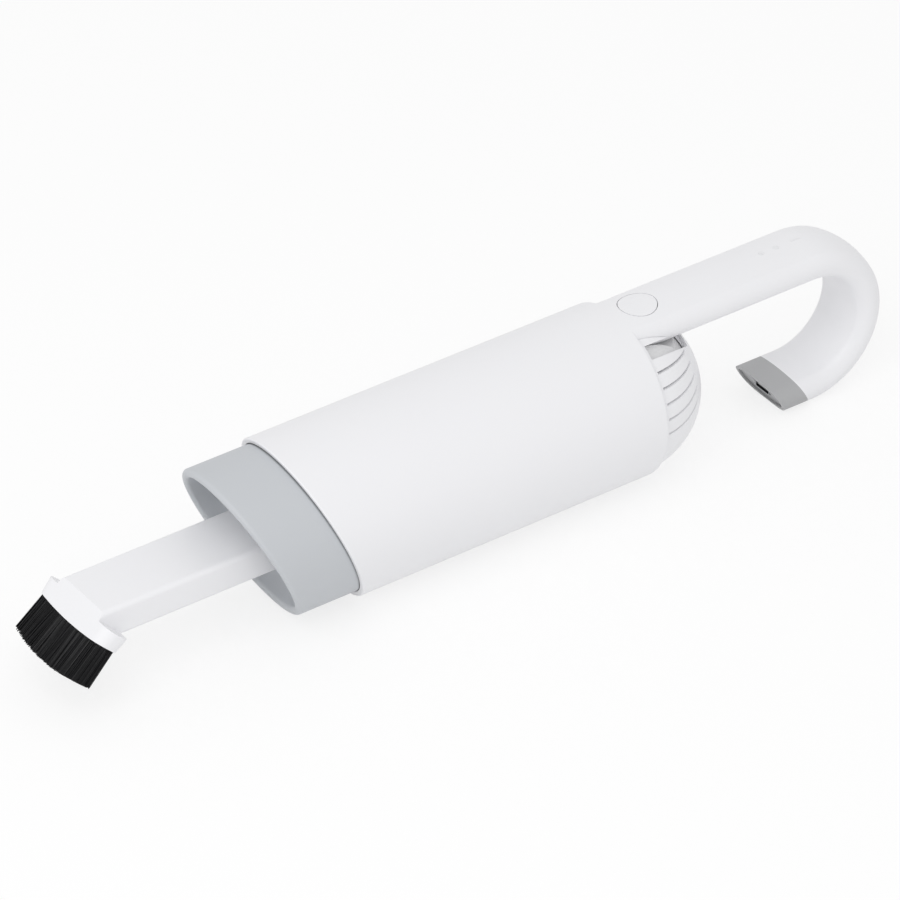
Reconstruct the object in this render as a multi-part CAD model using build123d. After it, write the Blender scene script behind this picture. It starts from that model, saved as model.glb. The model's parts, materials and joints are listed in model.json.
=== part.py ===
from build123d import *
import math
import os

# Portable hand vacuum, in millimetres. While it is drawn, X runs along the body's axis from the
# nozzle (negative) to the hook (positive), X = 0 is the rear rim of the body shell, Z is up.
# The finished pieces are moved so that the origin is the middle of the bottom of the whole.

# Shared fits
overrun = 5.0
slide_gap = 0.3
seat_gap = 0.2
shaft_gap = 0.1
glue_gap = 0.1

# Body shell
body_radius = 35.0
shell_wall = 2.0
shell_length = 141.6
shell_front_tilt = 20.4
shell_front_round = 0.5
belly_flat_width = 14.0

# Nose ring with its open mouth
nose_length = 27.6
nose_front_tilt = 23.0
nose_wall = 3.5
nose_lip_round = 1.6
nose_floor_depth = 21.0
nose_floor_thickness = 3.0
nose_floor_round = 12.0
nose_tail = 24.0
nose_spigot_length = 9.0
nose_spigot_wall = 2.0

# Flat nozzle
nozzle_width = 28.2
nozzle_height = 13.0
nozzle_drop = 0.8
nozzle_wall = 1.6
nozzle_corner = 2.0
nozzle_inner_corner = 0.4
nozzle_insert = 17.0

# Inlet duct behind the nose, and its flap
duct_wall = 1.8
duct_tail = 20.0
duct_flange_width = 3.0
duct_flange_thickness = 2.0
flap_thickness = 1.5
flap_edge = 0.8
flap_pin_radius = 0.8
flap_knuckle_radius = 2.0
flap_pin_rise = 2.7
flap_pin_back = 2.5
flap_ear_width = 2.0

# Brush head on the nozzle
brush_reach = 238.9
brush_drop = 5.6
brush_dip = 44.0
collar_side_wall = 1.5
collar_face_wall = 1.7
collar_depth = 6.4
collar_taper = 0.8
collar_round = 5.2
collar_spigot = 6.0
collar_spigot_wall = 1.2
collar_chamber = 5.0
nozzle_end_back = 10.4
throat_back = 2.0
bow_height = 1.3
throat_width = 25.0
throat_height = 5.2
tuft_width = 41.0
tuft_thickness = 9.0
tuft_round = 4.0
tuft_backing = 1.6
bristle_length = 15.8
bristle_side = 0.5
bristle_root = 0.5
bristle_columns = 47
bristle_rows = 13

# Dust cup
cup_wall = 1.6
cup_rear = 73.0
seal_length = 1.6
seal_wall = 2.2

# Washable filter
filter_clearance = 0.7
filter_plate = 3.0
filter_front = 94.0
pleat_outer = 19.0
pleat_inner = 15.5
pleat_bore = 12.0
pleat_count = 24
filter_cap_thickness = 1.5
filter_cap_lip = 0.6

# Motor, fan and the bulkhead that carries them
bulkhead_front = 71.0
bulkhead_thickness = 3.5
inlet_radius = 10.0
fan_headroom = 3.8
fan_cell_gap = 0.35
fan_running_gap = 1.2
fan_wall = 1.5
fan_housing_length = 16.5
fan_disc = 1.2
fan_front_gap = 2.0
fan_blade_height = 8.0
fan_blade_thickness = 1.2
fan_hub_radius = 4.0
fan_blades = 9
fan_vent_radius = 2.2
fan_vents = 6
motor_share = 0.652
motor_length = 32.0
motor_wall = 1.2
motor_end = 1.6
shaft_radius = 1.0
shaft_stub = 3.0
bearing_radius = 3.0
rotor_share = 0.708
rotor_margin = 4.0
fan_ear_radius = 3.2
fan_ear_length = 3.0
fan_ear_angle = 25.0
screw_radius = 1.1
screw_head_radius = 2.1
screw_head_height = 1.5
screw_bite = 2.5

# Cells, frames and the main board
cell_radius = 9.25
cell_length = 65.0
cell_between = 2.5
cell_wall_gap = 0.72
cell_fit = 0.15
tab_thickness = 0.2
tab_width = 6.0
frame_thickness = 3.0
mid_frame_place = 34.0
rear_frame_place = 5.0
frame_vent_share = 0.52
rear_vent_rim = 3.0
board_thickness = 1.6
board_width = 27.0
board_drop = 8.7
chip_length = 9.0
chip_width = 7.0
chip_height = 1.4
coil_radius = 3.4
coil_height = 4.2
coil_side = 8.0

# Rear dome with its louvred exhaust
dome_step = 1.8
dome_wall = 2.4
louvre_share = 0.18
louvre_tilt = 30.0
louvre_start = 2.0
louvre_step_angle = 11.0
louvre_first_angle = 49.6
louvres_a_side = 5
louvre_sink = 1.2
louvre_depth = 16.0
window_angle = 35.6
window_tilt = 13.0
window_width = 5.8
window_length = 22.5
window_depth = 26.0
foam_fit = 0.4
foam_front = 3.0
foam_thickness = 8.0

# Hook handle
handle_width = 28.6
handle_thickness = 14.4
handle_wall = 2.0
handle_shoulder = 10.6
handle_shoulder_round = 4.6
handle_run = 85.4
handle_notch_gap = 0.25
spine_width = 13.0
spine_height = 3.0
spine_drop = 0.8
spine_boss_radius = 3.2
handle_screw_places = (34.0, 60.0)
handle_screw_length = 4.2
handle_screw_sink = 0.4

# Power button on the handle's root
button_place = 11.0
button_radius = 7.5
button_gap = 0.3
button_travel = 1.0
button_skirt = 3.2
button_flange = 1.3
button_flange_thickness = 1.0
button_flange_drop = 0.5
button_stop_gap = 0.2
small_board_thickness = 1.2
button_board_length = 24.0
switch_side = 6.0
switch_height = 1.8
plunger_radius = 1.7
plunger_height = 0.8
spring_thickness = 0.4

# Charge lights on the handle's top
light_places = (69.2, 76.1)
light_radius = 1.3
slit_place = 85.4
slit_length = 4.2
slit_width = 1.0
light_fit = 0.02
light_board_front = 63.0

# Grey tip of the hook with the charging socket
tip_end_place = 69.65
tip_seam_place = 81.15
tip_tilt = 28.0
tip_rim = 1.4
tip_recess = 1.2
tip_spigot = 3.6
socket_width = 9.0
socket_height = 3.4
socket_length = 7.4
socket_wall = 0.5
socket_tongue = 0.7
socket_corner = 1.1
socket_fit = 0.1
charge_board_width = 14.0
lead_radius = 0.7
lead_spread = 3.0

# Places that follow from the sizes above
belly_level = -math.sqrt(body_radius ** 2 - (belly_flat_width / 2) ** 2)
cup_radius = body_radius - shell_wall - slide_gap
cup_bore = cup_radius - cup_wall
frame_radius = body_radius - shell_wall - slide_gap
nose_front = -shell_length - nose_length
nose_floor = nose_front + nose_floor_depth
nose_back = -shell_length + nose_tail
nose_bore = cup_radius - nose_wall
duct_half_width = nozzle_width / 2 + seat_gap + duct_wall
duct_half_height = nozzle_height / 2 + seat_gap + duct_wall
duct_end = nose_floor + duct_tail
nozzle_back = nose_floor + nozzle_insert
nozzle_reach = brush_reach - nozzle_end_back
collar_width = tuft_width + 2 * collar_side_wall
collar_thickness = tuft_thickness + 2 * collar_face_wall
bulkhead_back = -bulkhead_front + bulkhead_thickness
fan_back = bulkhead_back + fan_housing_length
motor_back = fan_back + motor_length
filter_radius = cup_bore - filter_clearance
cell_spread = cell_radius + cell_between / 2
cell_ring = body_radius - shell_wall - cell_radius - cell_wall_gap
cell_drop = math.sqrt(cell_ring ** 2 - cell_spread ** 2)
cells_top = cell_radius - cell_drop
fan_top = frame_radius - fan_headroom
fan_outer = (fan_top - cells_top - fan_cell_gap) / 2
fan_bore = fan_outer - fan_wall
fan_radius = fan_bore - fan_running_gap
motor_axis_height = fan_top - fan_outer
motor_radius = fan_bore * motor_share
rotor_radius = motor_radius * rotor_share
board_height = frame_radius - board_drop
dome_radius = body_radius - dome_step
dome_bore = dome_radius - dome_wall
foam_radius = dome_bore - foam_fit
louvre_middle_radius = dome_radius - louvre_sink
louvre_pitch = louvre_middle_radius * math.radians(louvre_step_angle)
louvre_width = louvre_share * louvre_pitch * math.cos(math.radians(louvre_tilt))
mid_frame_front = -mid_frame_place
rear_frame_front = -rear_frame_place
rear_frame_back = rear_frame_front + frame_thickness
cell_front = bulkhead_back + seat_gap
hook_radius = body_radius - handle_thickness / 2
spine_top = hook_radius - spine_drop
spine_bottom = spine_top - spine_height
small_board_top = spine_top + small_board_thickness
reach = brush_reach + handle_run + handle_thickness * 2 + hook_radius


# Shapes that many pieces share

def bar(x_from, x_to, section):
    """Run a section, drawn across Y and up Z, along the body's axis."""
    return extrude(Plane.YZ.offset(x_from) * section, amount=x_to - x_from)


def rod(x_from, x_to, radius, bore=0, across=0, up=0):
    """A round bar or tube along the body's axis."""
    section = Circle(radius)
    if bore:
        section -= Circle(bore)
    return bar(x_from, x_to, Pos(across, up) * section)


def slab(x_from, x_to, width, z_from, z_to):
    """A block across the body's middle plane."""
    middle = Pos((x_from + x_to) / 2, 0, (z_from + z_to) / 2)
    return middle * Box(x_to - x_from, width, z_to - z_from)


def ahead_of(x_middle, tilt, up=0):
    """All that lies in front of a plane whose top leans forward by the tilt."""
    half_space = Box(reach, reach, reach, align=(Align.MAX, Align.CENTER, Align.CENTER))
    return Pos(x_middle, 0, up) * Rot(0, -tilt, 0) * half_space


def under_belly():
    """All that lies below the flat that the vacuum rests on."""
    return slab(-reach, reach, 2 * body_radius, belly_level - overrun, belly_level)


def nozzle_section(grow=0):
    """The flat nozzle's outline, grown or shrunk evenly."""
    corner = max(nozzle_corner + grow, nozzle_inner_corner)
    outline = RectangleRounded(nozzle_width + 2 * grow, nozzle_height + 2 * grow, corner)
    return Pos(0, -nozzle_drop) * outline


# Front end: shell, nose, duct and dust cup

def main_shell():
    shell = rod(-shell_length - body_radius, 0, body_radius)
    shell -= ahead_of(-shell_length, shell_front_tilt)
    front_edge = shell.edges().sort_by(Axis.X)[0]
    shell = fillet(front_edge, shell_front_round)
    return shell - rod(-reach, overrun, body_radius - shell_wall) - under_belly()


def nose_mouth():
    """The hollow of the mouth, with a rounded floor."""
    hollow = rod(nose_front - body_radius, nose_floor, nose_bore)
    floor_edge = hollow.edges().group_by(Axis.X)[-1]
    return fillet(floor_edge, nose_floor_round)


def nose_ring():
    nose = rod(nose_front - body_radius, nose_back, cup_radius)
    nose -= ahead_of(nose_front, nose_front_tilt)
    nose -= nose_mouth()
    rim = nose.faces().filter_by(GeomType.PLANE).sort_by(Axis.X)[0]
    nose = fillet(rim.edges(), nose_lip_round)
    spigot_radius = cup_bore - seat_gap
    nose += rod(nose_back, nose_back + nose_spigot_length, spigot_radius)
    hollow_front = nose_floor + nose_floor_thickness
    nose -= rod(hollow_front, nose_back + nose_spigot_length, spigot_radius - nose_spigot_wall)
    return nose - bar(nose_floor - overrun, hollow_front, duct_section(glue_gap))


def duct_section(grow=0):
    width = 2 * (duct_half_width + grow)
    height = 2 * (duct_half_height + grow)
    return Pos(0, -nozzle_drop) * RectangleRounded(width, height, nozzle_corner + duct_wall)


def flap_axis():
    """The flap pin's place, behind and above the duct's inner end."""
    return duct_end + flap_pin_back, duct_half_height + flap_pin_rise - nozzle_drop


def flap_half_width():
    return duct_half_width - flap_ear_width - seat_gap


def inlet_duct():
    pin_x, pin_z = flap_axis()
    duct = bar(nose_floor, duct_end, duct_section())
    flange_front = nose_floor + nose_floor_thickness
    flange_section = duct_section(duct_flange_width)
    duct += bar(flange_front, flange_front + duct_flange_thickness, flange_section)
    ear_top = pin_z + flap_knuckle_radius
    ear_back = pin_x + flap_knuckle_radius
    ear_bottom = duct_half_height - duct_wall - nozzle_drop
    ears = slab(duct_end - duct_wall * 2, ear_back, 2 * duct_half_width, ear_bottom, ear_top)
    ears -= slab(duct_end - duct_wall * 3, ear_back + overrun, 2 * (flap_half_width() + seat_gap),
                 ear_bottom - overrun, ear_top + overrun)
    duct += ears
    duct -= bar(nose_floor - overrun, duct_end + flap_pin_back + overrun, nozzle_section(seat_gap))
    return duct - flap_pin(glue_gap)


def flap_pin(grow=0):
    pin_x, pin_z = flap_axis()
    return Pos(pin_x, 0, pin_z) * Rot(90, 0, 0) * Cylinder(flap_pin_radius + grow, 2 * duct_half_width)


def inlet_flap():
    pin_x, pin_z = flap_axis()
    face = duct_end + seat_gap
    width = 2 * flap_half_width()
    bottom = -duct_half_height + flap_edge - nozzle_drop
    flap = slab(face, face + flap_thickness, width, bottom, pin_z)
    flap += Pos(pin_x, 0, pin_z) * Rot(90, 0, 0) * Cylinder(flap_knuckle_radius, width)
    flap -= slab(face - overrun, pin_x - flap_knuckle_radius, 2 * duct_half_width, pin_z, pin_z + overrun)
    return flap - flap_pin(shaft_gap)


def dust_cup():
    return rod(nose_back, -cup_rear, cup_radius, cup_bore)


def cup_seal():
    return rod(-cup_rear, -cup_rear + seal_length, cup_radius - slide_gap, cup_radius - seal_wall)


# Nozzle and brush

def brush_frame(depth=0):
    """The brush's plane: X across, Z the way that the bristles point."""
    dip = math.radians(brush_dip)
    forward = Vector(-math.cos(dip), 0, -math.sin(dip))
    root = Vector(-brush_reach, 0, -brush_drop)
    return Plane(origin=root + forward * depth, x_dir=(0, 1, 0), z_dir=forward)


def bow(across):
    """How far the brush's root line stands out at a place across it."""
    return bow_height * (1 - (2 * across / tuft_width) ** 2)


def bowed_plate(width, back_depth, front_depth, thickness, corner):
    """A plate with rounded ends whose front follows the bow, and whose back does too if it is given."""
    half = width / 2
    front = ThreePointArc((-half, bow(half) + front_depth), (0, bow_height + front_depth),
                          (half, bow(half) + front_depth))
    if back_depth is None:
        back_depth = -collar_depth
        back = Line((-half - collar_taper, back_depth), (half + collar_taper, back_depth))
        left = Line((-half - collar_taper, back_depth), (-half, bow(half) + front_depth))
        right = Line((half + collar_taper, back_depth), (half, bow(half) + front_depth))
    else:
        back = ThreePointArc((-half, bow(half) + back_depth), (0, bow_height + back_depth),
                             (half, bow(half) + back_depth))
        left = Line((-half, bow(half) + back_depth), (-half, bow(half) + front_depth))
        right = Line((half, bow(half) + back_depth), (half, bow(half) + front_depth))
    face = make_face([front, left, back, right])
    flat = brush_frame()
    side = Plane(origin=flat.origin, x_dir=flat.x_dir, z_dir=-flat.y_dir)
    plate = extrude(side * face, amount=thickness / 2, both=True)
    lines = plate.edges().filter_by(GeomType.LINE).filter_by(Axis.Y, reverse=True)
    ends = lines.filter_by(Axis(flat.origin, flat.y_dir), reverse=True)
    return fillet(ends, corner)


def throat():
    """The way for the air from the nozzle to the brush."""
    section = SlotOverall(throat_width, throat_height)
    back = collar_depth + throat_back
    return extrude(brush_frame(-back) * section, amount=back + bow_height + overrun)


def nozzle_tube():
    return bar(-nozzle_reach, nozzle_back, nozzle_section() - nozzle_section(-nozzle_wall))


def brush_neck():
    """The nozzle's outline carried on into the collar, below the collar's top face."""
    neck = bar(-brush_reach - collar_thickness, -nozzle_reach, nozzle_section())
    under = Box(reach, reach, reach, align=(Align.CENTER, Align.MIN, Align.MAX))
    return neck & (brush_frame() * Pos(0, -collar_thickness / 2, -tuft_backing) * under)


def brush_collar():
    width = collar_width - 2 * collar_taper
    collar = bowed_plate(width, None, 0, collar_thickness, collar_round)
    collar += brush_neck()
    spigot_back = -nozzle_reach + collar_spigot
    collar += bar(-nozzle_reach, spigot_back, nozzle_section(-nozzle_wall - glue_gap))
    inside = nozzle_section(-nozzle_wall - glue_gap - collar_spigot_wall)
    collar -= bar(-nozzle_reach - collar_chamber, spigot_back, inside)
    groove_width = tuft_width + 2 * glue_gap
    groove_height = tuft_thickness + 2 * glue_gap
    groove_back = -tuft_backing - glue_gap
    groove = bowed_plate(groove_width, groove_back, overrun, groove_height, tuft_round + glue_gap)
    return collar - throat() - groove


def brush_bristles():
    backing = bowed_plate(tuft_width, -tuft_backing, 0, tuft_thickness, tuft_round)
    backing -= throat()
    across_step = (tuft_width - 2 * bristle_side) / (bristle_columns - 1)
    up_step = (tuft_thickness - 2 * bristle_side) / (bristle_rows - 1)
    clear_x = throat_width / 2 + bristle_side
    clear_y = throat_height / 2 + bristle_side
    length = bristle_length + bristle_root
    strands = []
    for column in range(bristle_columns):
        across = (column - (bristle_columns - 1) / 2) * across_step
        for row in range(bristle_rows):
            up = (row - (bristle_rows - 1) / 2) * up_step
            if abs(across) < clear_x and abs(up) < clear_y:
                continue
            past_side = max(0, abs(across) - tuft_width / 2 + tuft_round)
            past_face = max(0, abs(up) - tuft_thickness / 2 + tuft_round)
            if math.hypot(past_side, past_face) > tuft_round - bristle_side / 2:
                continue
            root = brush_frame(bow(across) - bristle_root)
            square = Pos(across, up) * Rectangle(bristle_side, bristle_side)
            strands.append(extrude(root * square, amount=length))
    print("bristle strands", len(strands))
    return backing.fuse(*strands)


# Filter

def star(outer, inner, count):
    """The outline of a pleated ring."""
    points = []
    for step in range(2 * count):
        radius = inner if step % 2 else outer
        angle = math.pi * step / count
        points.append((radius * math.cos(angle), radius * math.sin(angle)))
    return make_face(Polyline(*points, close=True))


def filter_frame():
    back = -bulkhead_front - seat_gap
    front = back - filter_plate
    return rod(front, back, filter_radius, pleat_bore)


def filter_cap():
    return rod(-filter_front - filter_cap_thickness, -filter_front, pleat_outer + filter_cap_lip)


def filter_media():
    front_of_plate = -bulkhead_front - seat_gap - filter_plate
    pleats = star(pleat_outer, pleat_inner, pleat_count) - Circle(pleat_bore)
    return bar(-filter_front, front_of_plate, pleats)


# Motor and fan

def fan_ears(x_from, x_to, radius):
    """Round pieces at the two ears of the fan housing."""
    ears = []
    for angle in (fan_ear_angle, 180 - fan_ear_angle):
        turn = math.radians(angle)
        out = fan_outer + screw_head_radius + seat_gap
        up = motor_axis_height + out * math.sin(turn)
        ears.append(rod(x_from, x_to, radius, 0, out * math.cos(turn), up))
    return ears


def bulkhead():
    wall = rod(-bulkhead_front, bulkhead_back, frame_radius)
    wall -= rod(-bulkhead_front - overrun, overrun, inlet_radius, 0, 0, motor_axis_height)
    for hole in fan_ears(bulkhead_back - screw_bite - seat_gap, overrun, screw_radius + glue_gap):
        wall -= hole
    return wall


def fan_housing():
    housing = rod(bulkhead_back, fan_back, fan_outer, fan_bore, 0, motor_axis_height)
    web_bore = bearing_radius + fan_wall
    web = rod(fan_back - fan_wall, fan_back, fan_outer, web_bore, 0, motor_axis_height)
    vent_ring = (motor_radius + fan_bore) / 2
    for place in PolarLocations(vent_ring, fan_vents):
        vent = Pos(place.position.X, place.position.Y + motor_axis_height)
        web -= bar(fan_back - overrun, fan_back + overrun, vent * Circle(fan_vent_radius))
    for ear in fan_ears(bulkhead_back, bulkhead_back + fan_ear_length, fan_ear_radius):
        housing += ear
    housing -= rod(bulkhead_back - overrun, fan_back - fan_wall, fan_bore, 0, 0, motor_axis_height)
    for hole in fan_ears(bulkhead_back - overrun, fan_back, screw_radius + glue_gap):
        housing -= hole
    return housing + web


def fan_screws():
    head_front = bulkhead_back + fan_ear_length
    shanks = fan_ears(bulkhead_back - screw_bite, head_front, screw_radius)
    heads = fan_ears(head_front, head_front + screw_head_height, screw_head_radius)
    return Compound([shank + head for shank, head in zip(shanks, heads)])


def impeller():
    disc_back = fan_back - fan_wall - fan_front_gap
    disc_front = disc_back - fan_disc
    fan = rod(disc_front, disc_back, fan_radius)
    fan += rod(disc_front - fan_blade_height, disc_back, fan_hub_radius)
    blade_length = fan_radius - fan_hub_radius
    blade = Rectangle(blade_length, fan_blade_thickness, align=(Align.MIN, Align.CENTER))
    for place in PolarLocations(0, fan_blades):
        section = place * Pos(fan_hub_radius - fan_disc, 0) * blade
        fan += bar(disc_front - fan_blade_height, disc_front, section)
    fan -= rod(disc_front - fan_blade_height - overrun, disc_back + overrun, shaft_radius)
    return Pos(0, 0, motor_axis_height) * fan


def motor_shaft():
    front = fan_back - fan_wall - fan_front_gap - fan_disc - fan_blade_height
    return rod(front, motor_back + shaft_stub, shaft_radius, 0, 0, motor_axis_height)


def motor_rotor():
    front = fan_back + rotor_margin
    back = motor_back - rotor_margin
    return rod(front, back, rotor_radius, shaft_radius, 0, motor_axis_height)


def motor_can():
    can = rod(fan_back, motor_back, motor_radius, 0, 0, motor_axis_height)
    bore = motor_radius - motor_wall
    can -= rod(fan_back + motor_end, motor_back - motor_end, bore, 0, 0, motor_axis_height)
    return can - rod(fan_back - overrun, motor_back + overrun, bearing_radius, 0, 0, motor_axis_height)


def motor_bearings():
    bore = shaft_radius + shaft_gap
    front = rod(fan_back, fan_back + motor_end, bearing_radius, bore, 0, motor_axis_height)
    rear = rod(motor_back - motor_end, motor_back, bearing_radius, bore, 0, motor_axis_height)
    return Compound([front, rear])


# Cells, frames and board

def cells(x_from, x_to, radius):
    """Round pieces at the two cells' places."""
    left = rod(x_from, x_to, radius, 0, -cell_spread, -cell_drop)
    right = rod(x_from, x_to, radius, 0, cell_spread, -cell_drop)
    return [left, right]


def battery_cells():
    return Compound(cells(cell_front, cell_front + cell_length, cell_radius))


def battery_tabs():
    """The strips that join the two cells at their rear ends."""
    back = cell_front + cell_length
    half = tab_width / 2
    return slab(back, back + tab_thickness, 2 * cell_spread, -cell_drop - half, -cell_drop + half)


def frame_disc(front):
    disc = rod(front, front + frame_thickness, frame_radius)
    for hole in cells(front - overrun, front + frame_thickness + overrun, cell_radius + cell_fit):
        disc -= hole
    return disc


def mid_frame():
    disc = frame_disc(mid_frame_front)
    through = (mid_frame_front - overrun, mid_frame_front + frame_thickness + overrun)
    disc -= rod(*through, motor_radius + glue_gap, 0, 0, motor_axis_height)
    vent_in = motor_radius + glue_gap
    vent_out = math.sqrt(frame_radius ** 2 - motor_axis_height ** 2)
    vent_radius = frame_vent_share * (vent_out - vent_in) / 2
    for side in (-1, 1):
        disc -= rod(*through, vent_radius, 0, side * (vent_in + vent_out) / 2, motor_axis_height)
    return disc


def rear_frame():
    disc = frame_disc(rear_frame_front)
    disc -= slab(cell_front + cell_length - seat_gap, overrun, 2 * cell_spread,
                 -cell_drop - tab_width / 2 - seat_gap, -cell_drop + tab_width / 2 + seat_gap)
    vent_bottom = cells_top + cell_fit + rear_vent_rim
    vent_top = spine_bottom - rear_vent_rim
    vent_radius = (vent_top - vent_bottom) / 2
    return disc - rod(rear_frame_front - overrun, overrun, vent_radius, 0, 0, vent_top - vent_radius)


def main_board():
    front = mid_frame_front + frame_thickness
    top = board_height + board_thickness
    board = slab(front, rear_frame_front, board_width, board_height, top)
    middle = (front + rear_frame_front) / 2
    board += slab(middle - chip_length / 2, middle + chip_length / 2, chip_width, top, top + chip_height)
    board += Pos(middle, coil_side, top + coil_height / 2) * Cylinder(coil_radius, coil_height)
    return board


# Rear dome

def dome_slot(angle_from_top, tilt, width, length, depth):
    """A slanted slot in the dome's near side, from its rim backwards."""
    angle = 90 + angle_from_top
    turn = math.radians(angle)
    spot = Pos(louvre_start, louvre_middle_radius * math.cos(turn), louvre_middle_radius * math.sin(turn))
    slot = Box(length, depth, width, align=(Align.MIN, Align.CENTER, Align.CENTER))
    return spot * Rot(angle + tilt, 0, 0) * slot


def louvre_cuts():
    """The louvres on both sides of the dome, with a wider window beside the handle."""
    cuts = [dome_slot(window_angle, window_tilt, window_width, window_length, window_depth)]
    for step in range(louvres_a_side):
        angle = louvre_first_angle + louvre_step_angle * step
        cuts.append(dome_slot(angle, louvre_tilt, louvre_width, dome_radius, louvre_depth))
    return cuts + [mirror(cut, about=Plane.XZ) for cut in cuts]


def half_ball(radius, x_from):
    """The rear part of a ball around the middle of the shell's rear rim."""
    rim_turn = math.acos(x_from / radius)
    rim = (x_from, radius * math.sin(rim_turn))
    middle = (radius * math.cos(rim_turn / 2), radius * math.sin(rim_turn / 2))
    arc = ThreePointArc(rim, middle, (radius, 0))
    outline = make_face([arc, Line((radius, 0), (x_from, 0)), Line((x_from, 0), rim)])
    return Rot(-90, 0, 0) * revolve(outline, axis=Axis.X)


def exhaust_grille():
    dome = half_ball(dome_radius, 0) + rod(rear_frame_back, 0, frame_radius)
    dome -= rod(rear_frame_back - overrun, 0, dome_bore) + half_ball(dome_bore, 0)
    notch_section = Pos(0, hook_radius) * handle_section(-handle_notch_gap)
    notch = bar(rear_frame_back - overrun, body_radius, notch_section)
    return dome - notch - louvre_cuts()


def exhaust_foam():
    foam = half_ball(foam_radius, foam_front) - half_ball(foam_radius - foam_thickness, 0)
    below_handle = body_radius - handle_thickness - slide_gap
    return foam - slab(0, body_radius, handle_width + 2 * slide_gap, below_handle, body_radius)


# Handle

def handle_section(inset=0):
    """The handle's outline: crowned top and bottom like the body, with rounded sides."""
    half_width = handle_width / 2 - inset
    half_thick = handle_thickness / 2 - inset
    crown = body_radius - inset
    shoulder = handle_shoulder - inset
    rise = half_thick - crown + math.sqrt(crown ** 2 - shoulder ** 2)
    top = ThreePointArc((-shoulder, rise), (0, half_thick), (shoulder, rise))
    right = ThreePointArc((shoulder, rise), (half_width, 0), (shoulder, -rise))
    bottom = ThreePointArc((shoulder, -rise), (0, -half_thick), (-shoulder, -rise))
    left = ThreePointArc((-shoulder, -rise), (-half_width, 0), (-shoulder, rise))
    outline = make_face([top, right, bottom, left])
    return fillet(outline.vertices(), handle_shoulder_round)


def hook(section):
    """Run a section back from the body, round the bend and forward to the tip's seam."""
    bend_centre = Axis((handle_run, 0, 0), (0, 1, 0))
    upper = Pos(0, hook_radius) * section
    lower = Pos(0, -hook_radius) * Rot(0, 0, 180) * section
    run = bar(0, handle_run, upper)
    run += revolve(Plane.YZ.offset(handle_run) * upper, axis=bend_centre, revolution_arc=180)
    run += bar(tip_end_place - handle_thickness, handle_run, lower)
    return run - (ahead_of(tip_seam_place, tip_tilt, -hook_radius) & below_axis())


def below_axis():
    return Pos(0, 0, -body_radius) * Box(2 * reach, reach, 2 * body_radius)


def handle_wall_section():
    return handle_section() - handle_section(handle_wall)


def outer_half():
    return Rectangle(handle_width * 2, handle_thickness, align=(Align.CENTER, Align.MIN))


def handle_outer_shell():
    shell = hook(handle_wall_section() & outer_half())
    shell -= Pos(button_place, 0, body_radius) * Cylinder(button_radius + button_gap, handle_thickness)
    for place in light_places:
        shell -= Pos(place, 0, body_radius) * Cylinder(light_radius + light_fit, handle_thickness)
    return shell - slit(light_fit, body_radius + overrun) - under_belly()


def handle_inner_shell():
    shell = hook(handle_wall_section() - outer_half())
    floor = body_radius - handle_thickness
    for place in handle_screw_places:
        shell -= Pos(place, 0, floor) * Cylinder(screw_radius + glue_gap, handle_thickness / 2)
        sink = handle_screw_sink + screw_head_height
        head_hole = Cylinder(screw_head_radius + glue_gap, sink + 2 * overrun)
        shell -= Pos(place, 0, floor - overrun + sink / 2) * head_hole
    return shell


def handle_spine():
    spine = slab(rear_frame_back, handle_run, spine_width, spine_bottom, spine_top)
    boss_bottom = body_radius - handle_thickness + handle_wall + seat_gap
    boss_height = spine_bottom - boss_bottom
    for place in handle_screw_places:
        spine += Pos(place, 0, boss_bottom + boss_height / 2) * Cylinder(spine_boss_radius, boss_height)
        spine -= Pos(place, 0, spine_bottom) * Cylinder(screw_radius, 2 * spine_height)
    return spine


def handle_screws():
    head_top = body_radius - handle_thickness + handle_screw_sink + screw_head_height
    screws = []
    for place in handle_screw_places:
        head = Cylinder(screw_head_radius, screw_head_height)
        shank = Cylinder(screw_radius, handle_screw_length)
        screw = Pos(place, 0, head_top - screw_head_height / 2) * head
        screw += Pos(place, 0, head_top + handle_screw_length / 2) * shank
        screws.append(screw)
    return Compound(screws)


# Button, lights and their boards

def button_flange_top():
    """Just under the lowest part of the roof over the button's flange."""
    reach_out = button_radius + button_flange
    crown = body_radius - handle_wall
    return crown - (crown - math.sqrt(crown ** 2 - reach_out ** 2)) - button_flange_drop


def power_button():
    flange_top = button_flange_top()
    cap_bottom = body_radius - button_skirt
    cap = Pos(button_place, 0, cap_bottom) * Cylinder(button_radius, handle_thickness / 2,
                                                       align=(Align.CENTER, Align.CENTER, Align.MIN))
    cap &= rod(button_place - handle_thickness, button_place + handle_thickness, body_radius)
    flange_middle = flange_top - button_flange_thickness / 2
    skirt_height = cap_bottom - flange_top + button_flange_thickness
    flange = Cylinder(button_radius + button_flange, button_flange_thickness)
    skirt = Pos(button_place, 0, cap_bottom - skirt_height / 2) * Cylinder(button_radius, skirt_height)
    button = cap + Pos(button_place, 0, flange_middle) * flange + skirt
    hollow_top = small_board_top + switch_height + plunger_height + button_travel + button_stop_gap
    hollow_radius = button_radius - button_flange
    hollow = Cylinder(hollow_radius, hollow_top, align=(Align.CENTER, Align.CENTER, Align.MAX))
    return button - Pos(button_place, 0, hollow_top) * hollow


def button_spring():
    """A dished spring washer under the button's flange."""
    top = button_flange_top() - button_flange_thickness - button_travel - button_stop_gap
    height = top - small_board_top
    outer = Cone(button_radius + button_flange, button_radius + spring_thickness, height)
    inner = Cone(button_radius + button_flange - spring_thickness, button_radius, height)
    return Pos(button_place, 0, small_board_top + height / 2) * (outer - inner)


def small_board(x_from, x_to):
    return slab(x_from, x_to, spine_width + handle_wall * 2, spine_top, small_board_top)


def button_board():
    half = button_board_length / 2
    return small_board(button_place - half, button_place + half)


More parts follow.
